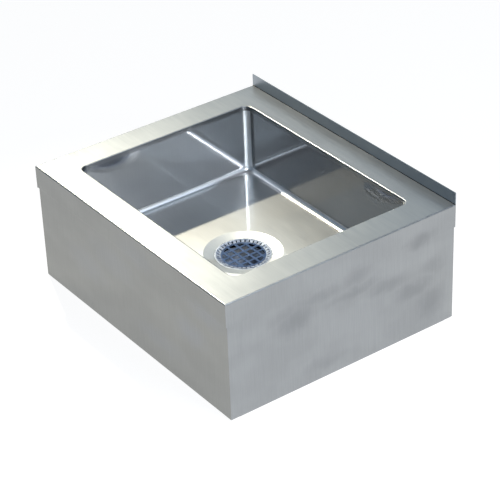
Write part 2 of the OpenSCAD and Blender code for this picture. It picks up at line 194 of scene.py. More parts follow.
def grey_patch_mask(tree, place):
    """How strongly a point is marked, from 0 to 1, at a place in metres."""
    ragged = add_node(tree, "ShaderNodeTexNoise", {
        "Vector": place, "Scale": 1 / (GREY_PATCH_RAGGED_MM * MM), "Detail": 2})
    centred = add_node(tree, "ShaderNodeVectorMath", {
        0: ragged.outputs["Color"], 1: (0.5, 0.5, 0.5)}, operation="SUBTRACT").outputs["Vector"]
    shift = add_node(tree, "ShaderNodeVectorMath", {
        0: centred, "Scale": GREY_PATCH_RAGGED_MM * MM}, operation="SCALE").outputs["Vector"]
    bent = add_node(tree, "ShaderNodeVectorMath", {
        0: place, 1: shift}, operation="ADD").outputs["Vector"]
    mask = None
    for middle, half_size, strength in GREY_PATCHES:
        local = add_node(tree, "ShaderNodeMapping", {
            "Vector": bent, "Location": [-m / h for m, h in zip(middle, half_size)],
            "Scale": [1 / (MM * h) for h in half_size]}).outputs["Vector"]
        far = add_node(tree, "ShaderNodeVectorMath", {0: local}, operation="LENGTH")
        here = add_node(tree, "ShaderNodeMapRange", {
            "Value": far.outputs["Value"], "From Min": GREY_PATCH_FULL, "From Max": GREY_PATCH_GONE,
            "To Min": strength, "To Max": 0}, interpolation_type="SMOOTHSTEP").outputs["Result"]
        mask = here if mask is None else add_node(
            tree, "ShaderNodeMath", {0: mask, 1: here}, operation="MAXIMUM").outputs["Value"]
    return mask


print("smudges on the front and right side:", len(GREY_PATCHES))

# %% [markdown]
# ## Brushed stainless steel
#
# The sheet is rolled and then brushed with a belt, so it carries fine parallel scratches. They run
# along the length of the flat deck and up and down on the folded sides. Real scratches are about a
# tenth of a millimetre apart, which is far finer than a picture shows, so they are drawn about two
# millimetres apart. A wide lobe gives the satin body of the metal. A thin coat with a raised index
# adds the crisp mirror that polished steel has on top of it. One lobe alone would be either too
# soft or too black.
#
# The bowl's corners and coves are ground and polished once more after welding. The surface there
# faces between two axes, which tells the material where they are. They are painted paler than
# the walls, so each draws a white line: a painted highlight.

# %% Parts of the steel pattern
def stretched_noise(tree, place, size_mm, seed, detail, roughness):
    """A noise whose lumps have a given size along each axis."""
    space = add_node(tree, "ShaderNodeMapping", {
        "Vector": place, "Location": seed, "Scale": [1 / (MM * s) for s in size_mm]})
    return add_node(tree, "ShaderNodeTexNoise", {
        "Vector": space.outputs["Vector"], "Scale": 1, "Detail": detail,
        "Roughness": roughness}).outputs["Fac"]


def largest_part(tree, vector):
    """The largest of a vector's three parts, without their signs."""
    size = add_node(tree, "ShaderNodeVectorMath", {0: vector}, operation="ABSOLUTE")
    parts = add_node(tree, "ShaderNodeSeparateXYZ", {"Vector": size.outputs["Vector"]}).outputs
    most = add_node(tree, "ShaderNodeMath", {0: parts["X"], 1: parts["Y"]}, operation="MAXIMUM")
    return add_node(tree, "ShaderNodeMath", {
        0: most.outputs["Value"], 1: parts["Z"]}, operation="MAXIMUM").outputs["Value"]


def inside_box(tree, place, low, high):
    """1 inside a box given by two corners in mm, 0 outside it."""
    half = [(h - l) / 2 for l, h in zip(low, high)]
    local = add_node(tree, "ShaderNodeMapping", {
        "Vector": place, "Scale": [1 / (MM * h) for h in half],
        "Location": [-(l + h) / 2 / r for l, h, r in zip(low, high, half)]})
    most = largest_part(tree, local.outputs["Vector"])
    return add_node(tree, "ShaderNodeMath", {
        0: most, 1: 1}, operation="LESS_THAN").outputs["Value"]


print("the steel pattern can be stretched and kept to a box")

# %% Grain, clouds and colour of the sheet
GRAIN_ACROSS, GRAIN_ALONG = 2.2, 60  # size of a scratch in mm
CLOUD_LOW, CLOUD_HIGH = 0.35, 0.68  # where a cloud starts and where it is full
CLEAR_TONE, CLOUD_TONE = 1.04, 0.95  # brightness of an upright face beside a cloud and in it


def grain_and_clouds(tree, place, level, cloud_mm, seed):
    """The grain, lying on flat faces and standing on the others, and clouds from 0 to 1."""
    standing, lying = [stretched_noise(tree, place, size, seed, detail=3, roughness=0.6)
                       for size in ((GRAIN_ACROSS, GRAIN_ACROSS, GRAIN_ALONG),
                                    (GRAIN_ALONG, GRAIN_ACROSS, GRAIN_ACROSS))]
    grain = add_node(tree, "ShaderNodeMix", {
        "Factor": level, "A": standing, "B": lying}, data_type="FLOAT").outputs["Result"]
    cloud = stretched_noise(tree, place, cloud_mm, seed, detail=2, roughness=0.45)
    clouded = add_node(tree, "ShaderNodeMapRange", {
        "Value": cloud, "From Min": CLOUD_LOW, "From Max": CLOUD_HIGH, "To Min": 0, "To Max": 1},
        interpolation_type="SMOOTHSTEP").outputs["Result"]
    return grain, clouded


def sheet_colour(tree, level, sideways, clouded, flat, upright):
    """The sheet's colour from a flat and an upright pair; the upright pair is painted shade."""
    top = add_node(tree, "ShaderNodeMix", {
        "Factor": clouded, "A": colour(flat[0]), "B": colour(flat[1])},
        data_type="RGBA").outputs["Result"]
    side = add_node(tree, "ShaderNodeMix", {
        "Factor": sideways, "A": colour(upright[0]), "B": colour(upright[1])},
        data_type="RGBA").outputs["Result"]
    dimmed = add_node(tree, "ShaderNodeMapRange", {
        "Value": clouded, "To Min": CLEAR_TONE, "To Max": CLOUD_TONE}).outputs["Result"]
    side = add_node(tree, "ShaderNodeVectorMath", {
        0: side, "Scale": dimmed}, operation="SCALE").outputs["Vector"]
    return add_node(tree, "ShaderNodeMix", {
        "Factor": level, "A": side, "B": top}, data_type="RGBA").outputs["Result"]


print("scratches are", GRAIN_ACROSS, "mm wide and", GRAIN_ALONG, "mm long")

# %% Brushed and polished steel
GRAIN_LOW, GRAIN_HIGH = 0.25, 0.75  # usual range of the grain's noise
GRAIN_ROUGH = 0.04  # how far the grain moves the roughness
FLAT_FROM, FLAT_FULL = 0.55, 0.95  # how far up a face looks where it starts to count as flat
SEAM_FROM, SEAM_FULL = 0.99, 0.94  # largest part of the normal where a corner starts


def brushed_steel(name, flat, upright, rough, wall_rough, cloud_mm, coat, coat_ior, coat_rough,
                  grain_depth, grain_tone, patch_grey=None, seam=None, regions=(), seed=(0, 0, 0)):
    """Stainless steel with a grain and soft clouds. flat holds the plain and the clouded colour
    of flat faces, upright the painted shade of faces that look along Y and along X. patch_grey
    is the colour of grey patches. seam is the colour and roughness of rounded corners, whose
    paleness paints their highlights. A region is a box of its own colour, roughness and coat."""
    material, tree = new_material(name)
    place = add_node(tree, "ShaderNodeTexCoord").outputs["Object"]
    normal = add_node(tree, "ShaderNodeNewGeometry").outputs["Normal"]
    facing = add_node(tree, "ShaderNodeSeparateXYZ", {"Vector": normal}).outputs
    level = add_node(tree, "ShaderNodeMapRange", {
        "Value": facing["Z"], "From Min": FLAT_FROM, "From Max": FLAT_FULL},
        interpolation_type="SMOOTHSTEP").outputs["Result"]
    sideways = add_node(tree, "ShaderNodeMath", {0: facing["X"]}, operation="ABSOLUTE")
    grain, clouded = grain_and_clouds(tree, place, level, cloud_mm, seed)
    shade = sheet_colour(tree, level, sideways.outputs["Value"], clouded, flat, upright)
    if patch_grey:
        shade = add_node(tree, "ShaderNodeMix", {
            "Factor": grey_patch_mask(tree, place), "A": shade, "B": colour(patch_grey)},
            data_type="RGBA").outputs["Result"]
    tone = add_node(tree, "ShaderNodeMapRange", {
        "Value": grain, "From Min": GRAIN_LOW, "From Max": GRAIN_HIGH,
        "To Min": 1 - grain_tone, "To Max": 1 + grain_tone}).outputs["Result"]
    shade = add_node(tree, "ShaderNodeVectorMath", {
        0: shade, "Scale": tone}, operation="SCALE").outputs["Vector"]
    gloss = add_node(tree, "ShaderNodeMapRange", {
        "Value": grain, "From Min": GRAIN_LOW, "From Max": GRAIN_HIGH,
        "To Min": rough - GRAIN_ROUGH, "To Max": rough + GRAIN_ROUGH}).outputs["Result"]
    gloss = add_node(tree, "ShaderNodeMix", {
        "Factor": level, "A": wall_rough, "B": gloss}, data_type="FLOAT").outputs["Result"]

    # Each place that differs from the sheet: where it is, its colour, roughness and coat.
    places = []
    if seam:
        rounded = add_node(tree, "ShaderNodeMapRange", {
            "Value": largest_part(tree, normal), "From Min": SEAM_FROM, "From Max": SEAM_FULL,
            "To Min": 0, "To Max": 1}, interpolation_type="SMOOTHSTEP").outputs["Result"]
        places.append((rounded, *seam, None))
    for low, high, *look in regions:
        places.append((inside_box(tree, place, low, high), *look))
    for here, place_colour, place_rough, place_coat in places:
        shade = add_node(tree, "ShaderNodeMix", {
            "Factor": here, "A": shade, "B": colour(place_colour)},
            data_type="RGBA").outputs["Result"]
        gloss = add_node(tree, "ShaderNodeMix", {
            "Factor": here, "A": gloss, "B": place_rough}, data_type="FLOAT").outputs["Result"]
        if place_coat is not None:
            coat = add_node(tree, "ShaderNodeMix", {
                "Factor": here, "A": coat, "B": place_coat}, data_type="FLOAT").outputs["Result"]
    bump = add_node(tree, "ShaderNodeBump", {
        "Height": grain, "Distance": grain_depth * MM, "Strength": 1})
    steel = add_node(tree, "ShaderNodeBsdfPrincipled", {
        "Base Color": shade, "Metallic": 1, "Roughness": gloss, "Normal": bump.outputs["Normal"],
        "Coat Weight": coat, "Coat Roughness": coat_rough, "Coat IOR": coat_ior})
    return close_material(material, steel.outputs["BSDF"])


print("flat faces start where the normal rises", FLAT_FROM)

# %% [markdown]
# ## Four finishes from one recipe
#
# The deck and the skirts are brushed sheet, the bowl is satin polished and the drain is polished
# all over. Where one piece changes its look part of the way along, a region says so. A material
# slot for each face would do the same, but the CAD meshes stay as they are.

# %% Deck, skirts, bowl and drain
# A region's two corners in mm, its colour, roughness and coat.
# Painted shade: the inside corner at the foot of the splash is painted near black and dull.
SHADED_SPLASH_BEND = ((-400, 264.3, 254.02), (400, 270, 255.05), "#2c2e30", 0.9, 0)
# The splash keeps a cooler tone than the skirts.
SPLASH_FACE = ((-400, 264.3, 255.05), (400, 270, 300), "#979fa6", 0.43, 0.6)
# The lip turned down into the bowl is polished with the bowl's walls and has their painted shade.
BOWL_LIP = ((-255.5, -204.7, 243), (255.5, 204.7, 252.6), "#76787a", 0.33, 1)
# Painted shade: the drain's cone is painted dark under the basket's slots.
SHADED_DRAIN_CONE = ((-60, -60, 88), (60, 60, 96.8), "#22262e", 0.6, 0)

# The deck and the skirts are cut from the same brushed sheet. The skirts are a little darker.
# Painted shade: upright faces looking along Y are darker and warmer than those along X.
SHEET_LOOK = {
    "upright": ("#81827e", "#999c9e"), "rough": 0.43, "wall_rough": 0.43,
    "cloud_mm": (110, 110, 60), "coat": 0.6, "coat_ior": 1.8, "coat_rough": 0.25,
    "grain_depth": 0.02, "grain_tone": 0.05, "patch_grey": "#828588", "seed": (3, 1, 2)}

deck_steel = brushed_steel(
    "brushed_stainless_steel_deck", ("#b4b6b7", "#adafb0"),
    regions=(SHADED_SPLASH_BEND, SPLASH_FACE, BOWL_LIP), **SHEET_LOOK)
skirt_steel = brushed_steel(
    "brushed_stainless_steel_skirts", ("#909293", "#898b8c"), **SHEET_LOOK)
# Painted shade: the bowl's walls are far darker than its floor, and the back wall is the darkest.
bowl_steel = brushed_steel(
    "satin_polished_stainless_steel_bowl", ("#efefec", "#e8e8e6"), ("#66686b", "#7a7c7f"),
    rough=0.43, wall_rough=0.33, cloud_mm=(160, 120, 80), coat=1, coat_ior=3.0, coat_rough=0.03,
    grain_depth=0.001, grain_tone=0.03, seam=("#f8f8f8", 0.42))
drain_steel = brushed_steel(
    "polished_stainless_steel_drain", ("#ced4de", "#a2aab8"), ("#ced4de", "#ced4de"),
    rough=0.5, wall_rough=0.5, cloud_mm=(9, 9, 9), coat=0.5, coat_ior=1.8, coat_rough=0.08,
    grain_depth=0.01, grain_tone=0.05, regions=(SHADED_DRAIN_CONE,))

# %% [markdown]
# ## The basket's bars
#
# The bottom plate of the lift-out basket sits below the light and looks clearly blue in the
# photograph. The real plate is pressed stainless steel with a blue cast that a camera gives to
# shaded metal. The colour is set in the metal, since no lamp reaches the plate alone.

# %% Blue-grey pressed steel
PATCH_LOW, PATCH_HIGH = 0.3, 0.7  # usual range of the patches' noise


def pressed_steel(name, base, worn, rough, rough_swing, patch_mm, dent_mm, coat, coat_rough):
    """Steel with soft patches in its colour and small dents in its surface."""
    material, tree = new_material(name)
    place = add_node(tree, "ShaderNodeTexCoord").outputs["Object"]
    patch = add_node(tree, "ShaderNodeTexNoise", {
        "Vector": place, "Scale": 1 / (patch_mm * MM), "Detail": 2}).outputs["Fac"]
    shade = add_node(tree, "ShaderNodeMix", {
        "Factor": patch, "A": colour(base), "B": colour(worn)}, data_type="RGBA")
    bump = add_node(tree, "ShaderNodeBump", {
        "Height": patch, "Distance": dent_mm * MM, "Strength": 1})
    gloss = add_node(tree, "ShaderNodeMapRange", {
        "Value": patch, "From Min": PATCH_LOW, "From Max": PATCH_HIGH,
        "To Min": rough - rough_swing, "To Max": rough + rough_swing})
    steel = add_node(tree, "ShaderNodeBsdfPrincipled", {
        "Base Color": shade.outputs["Result"], "Metallic": 1,
        "Roughness": gloss.outputs["Result"], "Normal": bump.outputs["Normal"],
        "Coat Weight": coat, "Coat Roughness": coat_rough})
    return close_material(material, steel.outputs["BSDF"])


grid_steel = pressed_steel(
    "blue_grey_pressed_steel_basket", "#667b9b", "#4d628a", rough=0.32, rough_swing=0.06,
    patch_mm=14, dent_mm=0.25, coat=0.3, coat_rough=0.08)

# %% [markdown]
# ## The basket's ring
#
# The ring round the grid is the part that mops and buckets rub. It is scuffed and spotted with
# scale, so it is less of a mirror than the rest: it stays pale all round, with blue-grey spots.
# A metal alone would be white on one side and dark on the other. So most of the ring is drawn as
# scale, and only its spots are partly metal.

# %% Scuffed ring
def scuffed_steel(name, scale_colour, spot_colour, spot_mm, rough, metal, coat, coat_rough):
    """Steel under pale scale with blue-grey spots. rough and metal go from scale to spot."""
    material, tree = new_material(name)
    place = add_node(tree, "ShaderNodeTexCoord").outputs["Object"]
    spots = add_node(tree, "ShaderNodeTexVoronoi", {
        "Vector": place, "Scale": 1 / (spot_mm * MM), "Randomness": 1})
    share = add_node(tree, "ShaderNodeSeparateColor", {
        "Color": spots.outputs["Color"]}).outputs["Green"]
    shade = add_node(tree, "ShaderNodeMix", {
        "Factor": share, "A": colour(scale_colour), "B": colour(spot_colour)}, data_type="RGBA")
    gloss = add_node(tree, "ShaderNodeMapRange", {
        "Value": share, "To Min": rough[0], "To Max": rough[1]})
    bare = add_node(tree, "ShaderNodeMapRange", {
        "Value": share, "To Min": metal[0], "To Max": metal[1]})
    steel = add_node(tree, "ShaderNodeBsdfPrincipled", {
        "Base Color": shade.outputs["Result"], "Metallic": bare.outputs["Result"],
        "Roughness": gloss.outputs["Result"], "Coat Weight": coat, "Coat Roughness": coat_rough})
    return close_material(material, steel.outputs["BSDF"])


ring_steel = scuffed_steel(
    "scuffed_stainless_steel_ring", "#ccd5e3", "#74829e", spot_mm=5, rough=(0.5, 0.7),
    metal=(0.0, 0.35), coat=0.3, coat_rough=0.1)

# %% [markdown]
# ## Galvanised steel
#
# The corner posts, foot plates and the two channels under the bowl are hidden in use. They are made
# of galvanised steel, whose zinc skin freezes into flat crystals some centimetres wide. Each
# crystal reflects a little differently, so a cell pattern sets both the tone and the roughness.

# %% Galvanised steel
def galvanised_steel(name, bright, dull, crystal_mm, rough):
    """Zinc-coated steel with crystals of a given size. rough goes from bright to dull ones."""
    material, tree = new_material(name)
    place = add_node(tree, "ShaderNodeTexCoord").outputs["Object"]
    crystals = add_node(tree, "ShaderNodeTexVoronoi", {
        "Vector": place, "Scale": 1 / (crystal_mm * MM)})
    level = add_node(tree, "ShaderNodeSeparateColor", {
        "Color": crystals.outputs["Color"]}).outputs["Red"]
    shade = add_node(tree, "ShaderNodeMix", {
        "Factor": level, "A": colour(bright), "B": colour(dull)}, data_type="RGBA")
    gloss = add_node(tree, "ShaderNodeMapRange", {
        "Value": level, "To Min": rough[0], "To Max": rough[1]})
    steel = add_node(tree, "ShaderNodeBsdfPrincipled", {
        "Base Color": shade.outputs["Result"], "Metallic": 1,
        "Roughness": gloss.outputs["Result"]})
    return close_material(material, steel.outputs["BSDF"])


zinc = galvanised_steel(
    "galvanised_steel_frame", "#b4b9bd", "#979da2", crystal_mm=16, rough=(0.34, 0.55))

# %% [markdown]
# ## Brass, rubber, fibre and plastic
#
# The nuts and the tailpiece under the bowl are cast and turned brass, a little darkened in places.
# The gaskets are black rubber, the friction ring is red-brown fibre, the washer is white plastic
# and the sheets that deaden the sound are grey filled rubber. None of them is a mirror, so one
# small recipe serves them all: a noise that varies the tone, the roughness and the surface.

# %% Brass and the soft materials
WORN_FROM, WORN_FULL = 0.35, 0.7  # where the noise starts a worn patch and where it is full
WORN_ROUGHER = 0.12  # what a worn patch adds to the roughness


def mottled(name, base, worn, metal, rough, patch_mm, dent_mm):
    """A material whose tone, roughness and surface vary in patches. metal is 1 or 0."""
    material, tree = new_material(name)
    place = add_node(tree, "ShaderNodeTexCoord").outputs["Object"]
    patch = add_node(tree, "ShaderNodeTexNoise", {
        "Vector": place, "Scale": 1 / (patch_mm * MM), "Detail": 4, "Roughness": 0.6})
    share = add_node(tree, "ShaderNodeMapRange", {
        "Value": patch.outputs["Fac"], "From Min": WORN_FROM, "From Max": WORN_FULL},
        interpolation_type="SMOOTHSTEP").outputs["Result"]
    shade = add_node(tree, "ShaderNodeMix", {
        "Factor": share, "A": colour(base), "B": colour(worn)}, data_type="RGBA")
    gloss = add_node(tree, "ShaderNodeMapRange", {
        "Value": share, "To Min": rough, "To Max": rough + WORN_ROUGHER})
    bump = add_node(tree, "ShaderNodeBump", {
        "Height": patch.outputs["Fac"], "Distance": dent_mm * MM, "Strength": 1})
    body = add_node(tree, "ShaderNodeBsdfPrincipled", {
        "Base Color": shade.outputs["Result"], "Metallic": metal,
        "Roughness": gloss.outputs["Result"], "Normal": bump.outputs["Normal"]})
    return close_material(material, body.outputs["BSDF"])


# name, plain and worn colour, metal, roughness, patch size and dent depth in mm
brass = mottled("cast_brass_fittings", "#b8954f", "#8f6f38", 1, 0.3, 12, 0.1)
gasket_rubber = mottled("black_nitrile_rubber", "#232325", "#2e2e30", 0, 0.62, 5, 0.05)
damping_sheet = mottled("grey_filled_damping_rubber", "#3a3c3e", "#47494b", 0, 0.8, 9, 0.4)
fibre = mottled("red_brown_vulcanised_fibre", "#8a5a3c", "#74472d", 0, 0.7, 4, 0.05)
washer_plastic = mottled("white_polyethylene", "#e4e4de", "#d6d6cf", 0, 0.4, 8, 0.02)

# %% [markdown]
# ## Each CAD piece gets the finish of its slot
#
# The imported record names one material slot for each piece. The finishes above are handed out by
# those names. The meshes themselves stay as they are.

# %% Dressing the CAD pieces
FINISHES = {
    "deck_steel": deck_steel, "bowl_steel": bowl_steel, "skirt_steel": skirt_steel,
    "drain_steel": drain_steel, "grid_steel": grid_steel, "galvanised_steel": zinc,
    "drain_brass": brass, "seal_rubber": gasket_rubber, "damping_rubber": damping_sheet,
    "fibre": fibre, "washer_plastic": washer_plastic,
}
SLOT_OF_NODE = {part["node"]: part["material_slot"] for part in frame["record"]["subparts"]}

for name, node in nodes.items():
    for holder in node.material_slots:
        holder.material = FINISHES[SLOT_OF_NODE[name]]
print("dressed", len(nodes), "CAD pieces in", len(set(SLOT_OF_NODE.values())), "finishes")

# %% [markdown]
# ## Growing repeated shapes
#
# The basket has 36 slots round its cone and a square grid of holes in its plate. Each would be
# tedious to draw by hand, and each follows a simple rule, so a Geometry Nodes tree cuts them. The
# sizes of a tree are its named inputs. The helpers below open a tree, close it, run it on a mesh
# and keep the result as a plain mesh with its edges slightly rounded, as pressed metal has them.

# %% Opening, closing and running a tree
ROUNDING_STEPS = 2  # facets across a rounded edge


def new_tree(name, inputs):
    """A Geometry Nodes tree with a geometry input, the named inputs and a material input."""
    tree = bpy.data.node_groups.new(name, "GeometryNodeTree")
    tree.interface.new_socket("Geometry", in_out="INPUT", socket_type="NodeSocketGeometry")
    for label, kind in inputs.items():
        tree.interface.new_socket(label, in_out="INPUT", socket_type=kind)
    tree.interface.new_socket("Material", in_out="INPUT", socket_type="NodeSocketMaterial")
    tree.interface.new_socket("Geometry", in_out="OUTPUT", socket_type="NodeSocketGeometry")
    return tree, add_node(tree, "NodeGroupInput").outputs


def close_tree(tree, geometry, material):
    """Turns the instances of a tree into real geometry with one material and gives it out."""
    real = add_node(tree, "GeometryNodeRealizeInstances", {"Geometry": geometry})
    dressed = add_node(tree, "GeometryNodeSetMaterial", {
        "Geometry": real.outputs["Geometry"], "Material": material})
    add_node(tree, "NodeGroupOutput", {"Geometry": dressed.outputs["Geometry"]})


def grow(name, mesh, tree, values, rounding_mm):
    """Runs a tree on a mesh and returns a plain object with rounded edges and one material."""
    piece = bpy.data.objects.new(name, mesh)
    bpy.context.scene.collection.objects.link(piece)
    growth = piece.modifiers.new("growth", "NODES")
    growth.node_group = tree
    for item in tree.interface.items_tree:
        if item.item_type == "SOCKET" and item.in_out == "INPUT" and item.name in values:
            growth[item.identifier] = values[item.name]
    rounding = piece.modifiers.new("rounding", "BEVEL")
    rounding.width, rounding.segments = rounding_mm * MM, ROUNDING_STEPS
    rounding.limit_method = "ANGLE"
    bpy.context.view_layer.update()
    seen = piece.evaluated_get(bpy.context.evaluated_depsgraph_get())
    grown = bpy.data.meshes.new_from_object(seen)
    piece.modifiers.clear()
    piece.data = grown
    grown.materials.clear()
    grown.materials.append(values["Material"])
    for face in grown.polygons:
        face.material_index = 0
    return piece


print("trees can be opened, closed and run")

# %% Plain solids to cut
def mesh_of(name, solid):
    """Writes a bmesh to a new mesh and frees it."""
    mesh = bpy.data.meshes.new(name)
    solid.to_mesh(mesh)
    solid.free()
    return mesh


def lathe(name, section, steps):
    """A closed outline of (radius, height) pairs in mm turned round the Z axis."""
    solid = bmesh.new()
    rings = []
    for step in range(steps):
        turn = 2 * math.pi * step / steps
        rings.append([
            solid.verts.new((r * math.cos(turn) * MM, r * math.sin(turn) * MM, z * MM))
            for r, z in section])
    for here, there in zip(rings, rings[1:] + rings[:1]):
        for i, corner in enumerate(here):
            after = (i + 1) % len(section)
            solid.faces.new((corner, here[after], there[after], there[i]))
    bmesh.ops.recalc_face_normals(solid, faces=solid.faces)
    return mesh_of(name, solid)


def disc(name, radius, low, high, steps):
    """A round plate about the Z axis between two heights, in mm."""
    solid = bmesh.new()
    bmesh.ops.create_circle(solid, cap_ends=True, radius=radius * MM, segments=steps,
                            matrix=Matrix.Translation((0, 0, low * MM)))
    lifted = bmesh.ops.extrude_face_region(solid, geom=solid.faces[:])["geom"]
    bmesh.ops.translate(solid, vec=(0, 0, (high - low) * MM),
                        verts=[v for v in lifted if isinstance(v, bmesh.types.BMVert)])
    bmesh.ops.recalc_face_normals(solid, faces=solid.faces)
    return mesh_of(name, solid)


print("solids can be turned from an outline or raised from a circle")

# %% Cutters inside a tree
MERGE_MM = 0.001  # points of a cutter that are this close are one point


def prism(tree, outline, depth):
    """A filled outline as a closed prism whose middle is at height 0."""
    face = add_node(tree, "GeometryNodeFillCurve", {"Curve": outline}).outputs["Mesh"]
    half = add_node(tree, "ShaderNodeMath", {0: depth, 1: -0.5}, operation="MULTIPLY")
    down = add_node(tree, "ShaderNodeCombineXYZ", {"Z": half.outputs["Value"]})
    low = add_node(tree, "GeometryNodeTransform", {
        "Geometry": face, "Translation": down.outputs["Vector"]}).outputs["Geometry"]
    walls = add_node(tree, "GeometryNodeExtrudeMesh", {
        "Mesh": low, "Offset Scale": depth, "Individual": False})
    base = add_node(tree, "GeometryNodeFlipFaces", {"Mesh": low})
    both = add_node(tree, "GeometryNodeJoinGeometry")
    tree.links.new(walls.outputs["Mesh"], both.inputs["Geometry"])
    tree.links.new(base.outputs["Mesh"], both.inputs["Geometry"])
    return add_node(tree, "GeometryNodeMergeByDistance", {
        "Geometry": both.outputs["Geometry"], "Distance": MERGE_MM * MM}).outputs["Geometry"]


def cut_away(tree, geometry, cutters, height):
    """The geometry with the cutters, lifted to a height, taken out of it."""
    up = add_node(tree, "ShaderNodeCombineXYZ", {"Z": height}).outputs["Vector"]
    real = add_node(tree, "GeometryNodeRealizeInstances", {"Geometry": cutters})
    lifted = add_node(tree, "GeometryNodeTransform", {
        "Geometry": real.outputs["Geometry"], "Translation": up}).outputs["Geometry"]
    return add_node(tree, "GeometryNodeMeshBoolean", {
        "Mesh 1": geometry, "Mesh 2": lifted}, operation="DIFFERENCE").outputs["Mesh"]


print("cutters merge points closer than", MERGE_MM, "mm")

# %% [markdown]
# ## The basket's slotted ring
#
# The lift-out basket starts with a shallow cone that lies in the drain's flange. Narrow slots with
# round ends are punched through it, one beside the other, and they read as a fine crown of dark
# notches round the grid. The CAD model has square-ended slots, and these here have the punch's
# round ends and softened edges. The cone is turned from an outline and the tree copies one cutter
# round a circle. The inner ledge at its foot carries the grid.

# %% Slotted ring
rim_low_corner, rim_high_corner = (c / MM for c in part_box("basket_rim"))
plate_low_corner, plate_high_corner = (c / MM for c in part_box("basket_grid"))
SHEET, LEDGE, PLATE_GAP = 1.0, 3.3, 0.3  # thickness, ledge width and gap round the plate in mm
rim_r = rim_high_corner.x
rim_top, ledge_low = rim_high_corner.z, rim_low_corner.z
plate_r = plate_high_corner.x
plate_low, plate_high = plate_low_corner.z, plate_high_corner.z
cone_foot_r = plate_r + PLATE_GAP
SLOT_COUNT, SLOT_W = 36, 3.0  # width in mm
SLOT_MARGIN = 1.2 * SHEET  # metal left at both ends of a slot
slot_in, slot_out = cone_foot_r + SLOT_MARGIN, rim_r - SLOT_MARGIN
SLOT_CUT = 12  # depth of the cutter in mm
SLOT_END = 0.49  # radius of a slot's end over its width, just under the half
SLOT_END_STEPS = 5
RING_STEPS, RING_ROUNDING = 144, 0.35  # steps of a turn, rounding in mm


def slotted_ring_tree():
    """Cuts a round-ended slot at each point of a circle out of the incoming ring."""
    tree, given = new_tree("slots_round_a_ring", {
        "Slot Count": "NodeSocketInt", "Slot Radius": "NodeSocketFloat",
        "Slot Length": "NodeSocketFloat", "Slot Width": "NodeSocketFloat",
        "Depth": "NodeSocketFloat", "Height": "NodeSocketFloat"})
    slot = add_node(tree, "GeometryNodeCurvePrimitiveQuadrilateral", {
        "Width": given["Slot Length"], "Height": given["Slot Width"]})
    end_r = add_node(tree, "ShaderNodeMath", {
        0: given["Slot Width"], 1: SLOT_END}, operation="MULTIPLY").outputs["Value"]
    rounded = add_node(tree, "GeometryNodeFilletCurve", {
        "Curve": slot.outputs["Curve"], "Radius": end_r, "Count": SLOT_END_STEPS}, mode="POLY")
    cutter = prism(tree, rounded.outputs["Curve"], given["Depth"])
    points = add_node(tree, "GeometryNodeMeshCircle", {
        "Vertices": given["Slot Count"], "Radius": given["Slot Radius"]}).outputs["Mesh"]
    index = add_node(tree, "GeometryNodeInputIndex").outputs["Index"]
    share = add_node(tree, "ShaderNodeMath", {0: index, 1: given["Slot Count"]}, operation="DIVIDE")
    turn = add_node(tree, "ShaderNodeMath", {
        0: share.outputs["Value"], 1: 2 * math.pi}, operation="MULTIPLY")
    about_z = add_node(tree, "ShaderNodeCombineXYZ", {"Z": turn.outputs["Value"]})
    spin = add_node(tree, "FunctionNodeEulerToRotation", {"Euler": about_z.outputs["Vector"]})
    slots = add_node(tree, "GeometryNodeInstanceOnPoints", {
        "Points": points, "Instance": cutter, "Rotation": spin.outputs["Rotation"]})
    cut = cut_away(tree, given["Geometry"], slots.outputs["Instances"], given["Height"])
    close_tree(tree, cut, given["Material"])
    return tree


ring_outline = [
    (rim_r, rim_top - SHEET), (rim_r, rim_top), (cone_foot_r, ledge_low + SHEET),
    (cone_foot_r - LEDGE, ledge_low + SHEET), (cone_foot_r - LEDGE, ledge_low),
    (cone_foot_r, ledge_low)]
ring = grow("basket_ring", lathe("basket_ring", ring_outline, RING_STEPS), slotted_ring_tree(), {
    "Slot Count": SLOT_COUNT, "Slot Radius": (slot_in + slot_out) / 2 * MM,
    "Slot Length": (slot_out - slot_in) * MM, "Slot Width": SLOT_W * MM,
    "Depth": SLOT_CUT * MM, "Height": rim_top * MM, "Material": ring_steel}, RING_ROUNDING)
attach(ring, "basket")
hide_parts("basket_rim")
print("ring with", SLOT_COUNT, "slots and", len(ring.data.polygons), "faces")

# %% [markdown]
# ## The basket's grid
#
# The bottom of the basket is a round plate with square holes in rows, and solid metal at its edge.
# The tree lays a square field of points, drops the four corners of the field, which would break
# the edge, and cuts one square at each point that is left. A ring joined round the plate keeps the
# edge whole where the outer squares come close to it.

# %% Grid of square holes
HOLES_ACROSS, HOLE_PITCH, HOLE = 5, 17.6, 12.6  # pitch and side of a hole in mm
HOLE_CUT = 4  # depth of the cutter in mm
CORNER_LIMIT = 0.95  # a point is dropped when its X and Y add up to this share of the field
EDGE_W = 3  # width of the solid edge in mm
PLATE_STEPS, PLATE_ROUNDING = 96, 0.1  # steps of a turn, rounding in mm


